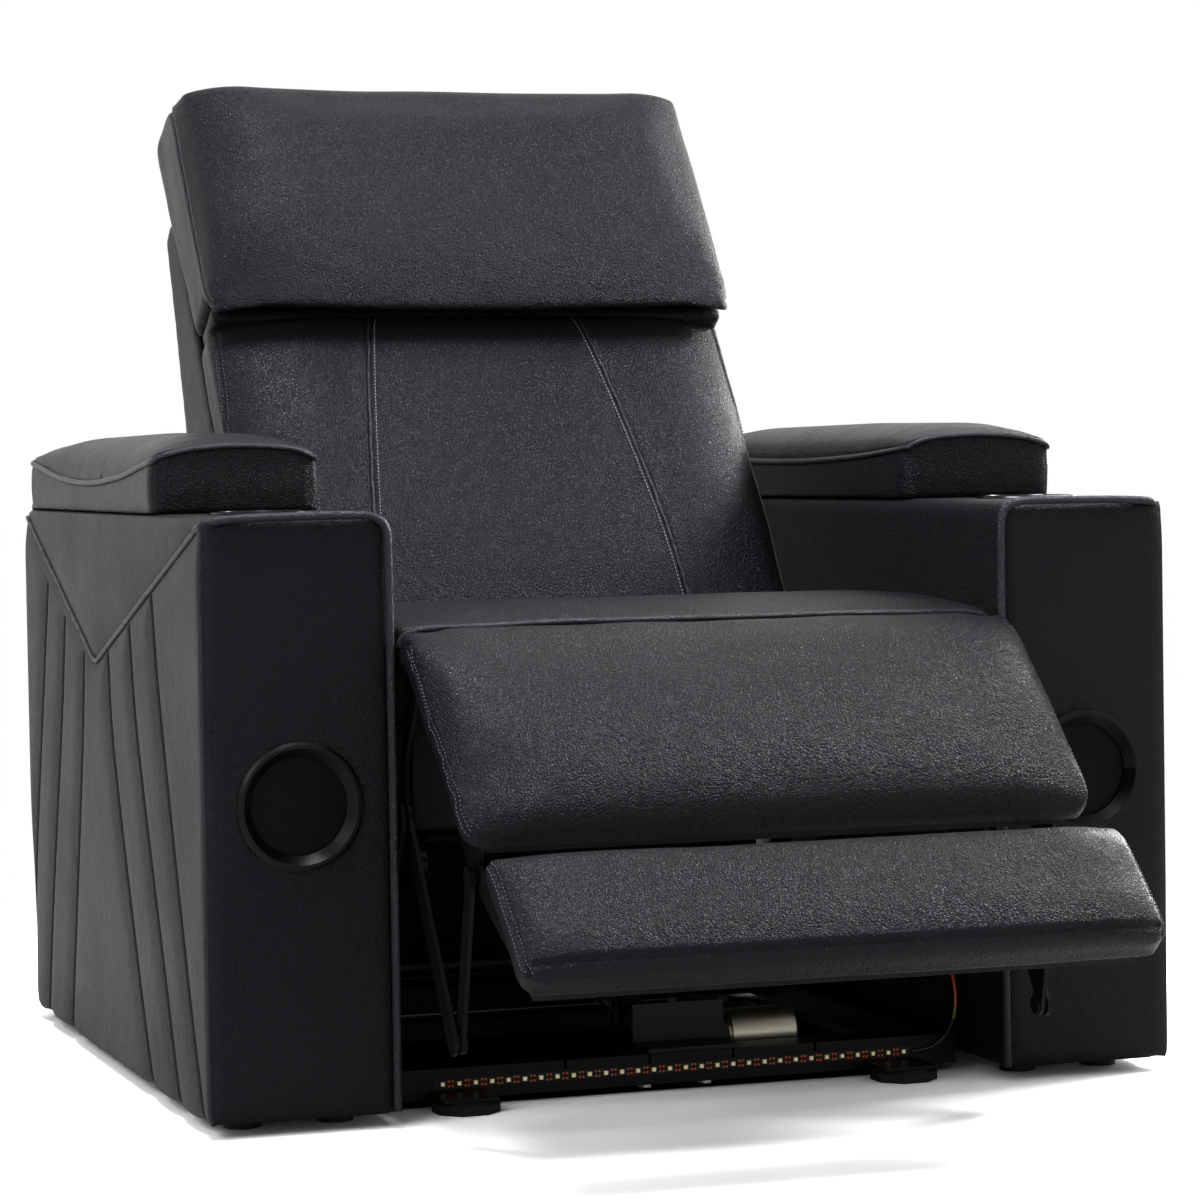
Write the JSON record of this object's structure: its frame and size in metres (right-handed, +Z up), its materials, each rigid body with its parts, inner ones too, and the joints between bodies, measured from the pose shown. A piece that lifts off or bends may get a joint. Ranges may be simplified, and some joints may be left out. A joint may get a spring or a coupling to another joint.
{
  "type": "recliner seat",
  "caption": "Wide powered cinema recliner with storage arms, cup wells, arm-front speakers, folding footrest, reclining back and tilting headrest.",
  "frame": {"origin": "centre of the footprint on the floor, in the half reclined pose", "axes": "+Z up, -Y to the front where the footrest is, +X towards the sitter's left"},
  "size_m": [0.98, 1.3935, 1.0655],
  "materials": {
    "black_plastic": "matte",
    "black_steel": "satin",
    "button_plastic": "satin",
    "cup_metal": "satin",
    "grey_steel": "satin",
    "grille_metal": "matte",
    "lead_sheath": "matte",
    "leather": "semi-gloss pebbled",
    "led_strip": "matte",
    "motor_can": "satin",
    "plywood": "sawn",
    "zinc": "zinc plated"
  },
  "bodies": {
    "base": {"arm_cover_left": "leather", "arm_cover_right": "leather", "arm_frames": "plywood", "back_gearbox": "black_plastic", "back_motor": "motor_can", "base_frame": "black_steel", "control_box": "black_plastic", "control_panel": "black_plastic", "cup_holder_left": "cup_metal", "cup_holder_right": "cup_metal", "floor_glides": "black_plastic", "footrest_gearbox": "black_plastic", "footrest_motor": "motor_can", "front_rail": "black_steel", "led_lead": "lead_sheath", "led_strip": "led_strip", "lid_hinges_fixed": "zinc", "rail_bolts": "zinc", "seat_apron": "leather", "seat_cushion": "leather", "seat_frame": "plywood", "seat_hinge_ears": "black_steel", "seat_springs": "zinc", "side_plate_left": "black_steel", "side_plate_right": "black_steel", "speaker_bezels": "black_plastic", "speaker_drivers": "black_plastic", "speaker_grilles": "grille_metal", "storage_bins": "black_plastic"},
    "footrest": {"calf_pad": "leather", "foot_pad": "leather", "footrest_boards": "plywood", "footrest_brackets": "black_steel"},
    "crank_left": {"crank_left": "black_steel"},
    "crank_right": {"crank_right": "black_steel"},
    "coupler_left": {"coupler_left": "black_steel"},
    "coupler_right": {"coupler_right": "black_steel"},
    "torque_tube": {"torque_tube": "grey_steel"},
    "push_link_left": {"push_link_left": "black_steel"},
    "push_link_right": {"push_link_right": "black_steel"},
    "footrest_drive_nut": {"footrest_nut": "black_plastic"},
    "back": {"back_cushion": "leather", "back_frame": "plywood", "outside_back": "leather", "back_brackets": "black_steel", "headrest_actuator": "black_plastic"},
    "back_drive_nut": {"back_nut": "black_plastic"},
    "headrest": {"headrest_frame": "black_steel", "headrest_pad": "leather"},
    "headrest_drive_nut": {"headrest_nut": "black_plastic"},
    "lid_left": {"lid_board_left": "plywood", "lid_pad_left": "leather", "lid_hinge_left": "zinc"},
    "lid_right": {"lid_board_right": "plywood", "lid_pad_right": "leather", "lid_hinge_right": "zinc"},
    "recline_button": {"recline_button": "button_plastic"},
    "upright_button": {"upright_button": "button_plastic"},
    "head_forward_button": {"head_forward_button": "button_plastic"},
    "head_back_button": {"head_back_button": "button_plastic"}
  },
  "joints": [
    {"name": "footrest", "type": "hinge", "parent": "base", "child": "footrest", "pos_m": [0, -0.34, 0.446], "axis": [-1, 0, 0], "range_deg": [-41, 42]},
    {"name": "crank_left", "type": "hinge", "parent": "base", "child": "crank_left", "pos_m": [0.295, -0.3, 0.29], "axis": [-1, 0, 0], "range_deg": [-41, 42]},
    {"name": "coupler_left", "type": "hinge", "parent": "footrest", "child": "coupler_left", "pos_m": [0.288, -0.47983, 0.25184], "axis": [-1, 0, 0], "range_deg": [-42, 41]},
    {"name": "crank_right", "type": "hinge", "parent": "base", "child": "crank_right", "pos_m": [-0.295, -0.3, 0.29], "axis": [-1, 0, 0], "range_deg": [-41, 42]},
    {"name": "coupler_right", "type": "hinge", "parent": "footrest", "child": "coupler_right", "pos_m": [-0.288, -0.47983, 0.25184], "axis": [-1, 0, 0], "range_deg": [-42, 41]},
    {"name": "torque_tube", "type": "hinge", "parent": "base", "child": "torque_tube", "pos_m": [0, 0.086, 0.095], "axis": [-1, 0, 0], "range_deg": [-41, 42]},
    {"name": "push_link_left", "type": "hinge", "parent": "torque_tube", "child": "push_link_left", "pos_m": [0.288, 0.06571, 0.05483], "axis": [-1, 0, 0], "range_deg": [-42, 41]},
    {"name": "push_link_right", "type": "hinge", "parent": "torque_tube", "child": "push_link_right", "pos_m": [-0.288, 0.06571, 0.05483], "axis": [-1, 0, 0], "range_deg": [-42, 41]},
    {"name": "footrest_drive", "type": "slide", "parent": "base", "child": "footrest_drive_nut", "axis": [0, -1, 0], "range_m": [-0.04543, 0.04654]},
    {"name": "recline", "type": "hinge", "parent": "base", "child": "back", "pos_m": [0, 0.261, 0.395], "axis": [-1, 0, 0], "range_deg": [-12, 25]},
    {"name": "recline_drive", "type": "slide", "parent": "base", "child": "back_drive_nut", "axis": [0, -1, 0], "range_m": [-0.03256, 0.06783]},
    {"name": "headrest_tilt", "type": "hinge", "parent": "back", "child": "headrest", "pos_m": [0, 0.44792, 0.79452], "axis": [1, 0, 0], "range_deg": [0, 38]},
    {"name": "headrest_drive", "type": "slide", "parent": "back", "child": "headrest_drive_nut", "axis": [0, 0.5678, 0.8231], "range_m": [0, 0.07782]},
    {"name": "lid_left", "type": "hinge", "parent": "base", "child": "lid_left", "pos_m": [0.401, 0.58, 0.577], "axis": [-1, 0, 0], "range_deg": [0, 80]},
    {"name": "lid_right", "type": "hinge", "parent": "base", "child": "lid_right", "pos_m": [-0.401, 0.58, 0.577], "axis": [-1, 0, 0], "range_deg": [0, 80]},
    {"name": "recline_button", "type": "slide", "parent": "base", "child": "recline_button", "axis": [-1, 0, 0], "range_m": [0, 0.0015], "stiffness_N_per_m": 500},
    {"name": "upright_button", "type": "slide", "parent": "base", "child": "upright_button", "axis": [-1, 0, 0], "range_m": [0, 0.0015], "stiffness_N_per_m": 500},
    {"name": "head_forward_button", "type": "slide", "parent": "base", "child": "head_forward_button", "axis": [-1, 0, 0], "range_m": [0, 0.0015], "stiffness_N_per_m": 500},
    {"name": "head_back_button", "type": "slide", "parent": "base", "child": "head_back_button", "axis": [-1, 0, 0], "range_m": [0, 0.0015], "stiffness_N_per_m": 500}
  ],
  "couplings": [
    {"joint": "crank_left", "follows": "footrest", "ratio": 1},
    {"joint": "coupler_left", "follows": "footrest", "ratio": -1},
    {"joint": "crank_right", "follows": "footrest", "ratio": 1},
    {"joint": "coupler_right", "follows": "footrest", "ratio": -1},
    {"joint": "torque_tube", "follows": "footrest", "ratio": 1},
    {"joint": "push_link_left", "follows": "footrest", "ratio": -1},
    {"joint": "push_link_right", "follows": "footrest", "ratio": -1},
    {"joint": "footrest_drive", "follows": "footrest", "m_per_rad": 0.063486},
    {"joint": "recline_drive", "follows": "recline", "m_per_rad": 0.15544},
    {"joint": "headrest_drive", "follows": "headrest_tilt", "m_per_rad": 0.11733}
  ]
}
